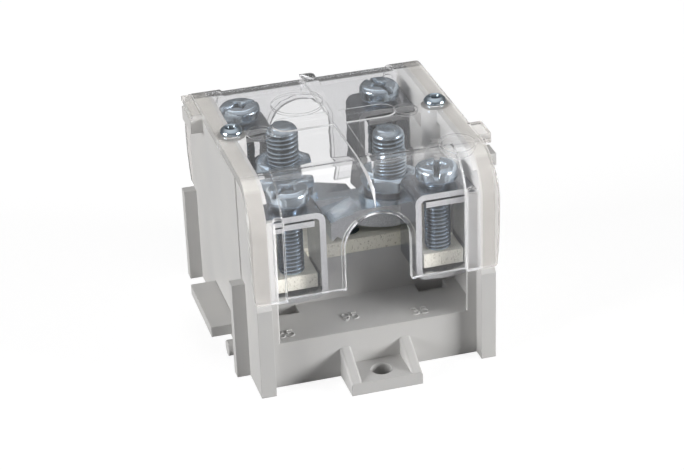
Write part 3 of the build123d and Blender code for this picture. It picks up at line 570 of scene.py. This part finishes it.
# The digits' height, the step from one to the next, and the step that fits the box above
DIGIT_HEIGHT, DIGIT_STEP, BOX_STEP = 3.9, 2.75, 0.7
# Where each number starts on the shelf: x, y in millimetres
NUMBERS = [("95", -7.7, -31.2), ("35", 13.3, -34.9), ("35", -29.0, -34.9)]


def curve_through(points, count=8):
    """Points on a Catmull-Rom curve: between two given points it is the cubic whose slope at
    each is half the step between that point's neighbours."""
    p = np.asarray(points, dtype=float)
    p = np.concatenate([2 * p[:1] - p[1:2], p, 2 * p[-1:] - p[-2:-1]])
    t = np.linspace(0, 1, count, endpoint=False)[None, :, None]
    a, b, c, d = (p[k:len(p) - 3 + k, None, :] for k in range(4))
    run = b + 0.5 * t * (c - a + t * (2 * a - 5 * b + 4 * c - d + t * (3 * (b - c) + d - a)))
    return np.concatenate([run.reshape(-1, 2), p[-2:-1]])


def stroke(points, lift):
    """A low rounded ridge on the shelf: a half oval 0.46 mm wide and 0.3 mm high, carried along
    the curve square to it and drawn together to a point at both ends. lift raises it a hair, so
    that strokes which meet stay closed forms of their own."""
    half, rise, sink = 0.23, 0.3, 0.05
    line = curve_through(points)
    along = np.gradient(line, axis=0)
    along /= np.linalg.norm(along, axis=1, keepdims=True)
    across = np.stack([along[:, 1], -along[:, 0]], axis=1)
    angle = np.linspace(0, math.pi, 9)
    side = np.concatenate([[half], half * np.cos(angle), [-half]])
    height = SHELF_TOP + lift + np.concatenate([[-sink], rise * np.sin(angle), [-sink]])
    flat = line[:, None, :] + side[None, :, None] * across[:, None, :]
    ridge = np.concatenate([flat, np.broadcast_to(height, flat.shape[:2])[:, :, None]], axis=2)
    first, last = (np.tile(ridge[k].mean(axis=0), (1, len(side), 1)) for k in (0, -1))
    return grid_surface("stroke", np.concatenate([first, ridge, last]))


def raised_number(text, x, y):
    """Digits side by side from (x, y), each a few strokes."""
    scale, hair = (DIGIT_STEP / BOX_STEP, DIGIT_HEIGHT), 0.005
    parts = [stroke(np.array(line) * scale + (x + k * DIGIT_STEP, y), hair * row)
             for k, digit in enumerate(text) for row, line in enumerate(STROKES[digit])]
    return join("shelf_number_" + text, parts)


for text, x, y in NUMBERS:
    dress(raised_number(text, x, y), "block", "housing_plastic")


# Stage, light, camera

FLOOR_GLOW = 0.85
WORLD_LIGHT = 0.1


def not_bounced(nodes, links, kind):
    """1 for rays that no surface of this kind (Diffuse or Glossy) has sent back on their way
    from the camera, also where they have passed through clear plastic."""
    path = nodes.new("ShaderNodeLightPath")
    return work_out(nodes, links, "LESS_THAN", path.outputs[kind + " Depth"], 0.5)


def seen_directly(nodes, links):
    """1 for rays straight from the camera or through clear plastic, 0 for all others."""
    return work_out(nodes, links, "MULTIPLY", not_bounced(nodes, links, "Diffuse"),
                    not_bounced(nodes, links, "Glossy"))


def floor():
    """A pale round floor that looks white where it is unshaded, with a painted shadow under the
    block where its glow is left out.
    """
    below, r = -0.05, np.array([0.0, 300.0, 1200.0, 6000.0])[:, None]
    theta = angles(96)
    points = np.stack([r * np.cos(theta), r * np.sin(theta), np.full((4, 96), below)], axis=-1)
    obj = grid_surface("studio_floor", points)
    mat, nodes, links, shader = new_material("studio_floor", (0.22, 0.22, 0.22), roughness=0.9)
    glow = work_out(nodes, links, "MULTIPLY", seen_directly(nodes, links), FLOOR_GLOW)
    # Painted shadow: no glow over the block's walls and lugs, so the floor seen through the block's
    # hollows stays dark
    for half_x, half_y in (WALLS_HALF, LUGS_HALF):
        clear = work_out(nodes, links, "MAXIMUM", beyond(nodes, links, "X", half_x * MM),
                         beyond(nodes, links, "Y", half_y * MM))
        glow = work_out(nodes, links, "MULTIPLY", glow, clear)
    shader.inputs["Emission Color"].default_value = (1, 1, 1, 1)
    links.new(glow, shader.inputs["Emission Strength"])
    obj.data.materials.append(mat)


def world():
    """White where the camera sees it and in glossy reflections from above, which fade towards
    the horizon; a plain dim light on everything else."""
    studio = bpy.data.worlds.new("studio")
    bpy.context.scene.world = studio
    studio.use_nodes = True
    nodes, links = studio.node_tree.nodes, studio.node_tree.links
    back = nodes["Background"]
    back.inputs["Color"].default_value = (1, 1, 1, 1)
    coords = nodes.new("ShaderNodeTexCoord")
    split = nodes.new("ShaderNodeSeparateXYZ")
    links.new(coords.outputs["Generated"], split.inputs["Vector"])
    above = spread(nodes, links, split.outputs["Z"], 0.15, 0.72, 0.5, 0.95)
    mirrored = blend(nodes, links, "FLOAT", not_bounced(nodes, links, "Diffuse"), WORLD_LIGHT,
                     above)
    links.new(blend(nodes, links, "FLOAT", seen_directly(nodes, links), mirrored, 1.0),
              back.inputs["Strength"])


def lamp(name, place, size, power):
    """A soft rectangular lamp at place, turned to the middle of the block; metres and watts."""
    data = bpy.data.lights.new(name, "AREA")
    data.shape = "RECTANGLE"
    data.size, data.size_y = size
    data.energy = power
    obj = bpy.data.objects.new(name, data)
    bpy.context.scene.collection.objects.link(obj)
    aim = np.array((0, 0, 0.03)) - np.array(place)
    obj.location = place
    yaw = math.atan2(aim[1], aim[0]) - math.pi / 2
    pitch = math.atan2(math.hypot(aim[0], aim[1]), -aim[2])
    obj.rotation_euler = (pitch, 0, yaw)
    return obj


floor()
world()
lamp("left_lamp", (-1.38, -0.26, 0.46), (0.8, 0.6), 21)
lamp("right_lamp", (1.30, -0.80, 0.32), (0.6, 0.5), 28)
lamp("rear_lamp", (0.0, 0.9, 1.1), (0.9, 0.6), 2.0).visible_glossy = False

lens = bpy.data.cameras.new("camera")
lens.sensor_width = 36
lens.lens = 113.56
lens.shift_x, lens.shift_y = 0.00163, 0.06557
lens.clip_start, lens.clip_end = 0.01, 50
camera = bpy.data.objects.new("camera", lens)
camera.location = (-0.15472, -0.57568, 0.34564)
camera.rotation_euler = [math.radians(angle) for angle in (60.6977, 1.9081, -16.1288)]
bpy.context.scene.collection.objects.link(camera)
bpy.context.scene.camera = camera
bpy.context.scene.view_settings.view_transform = "Standard"
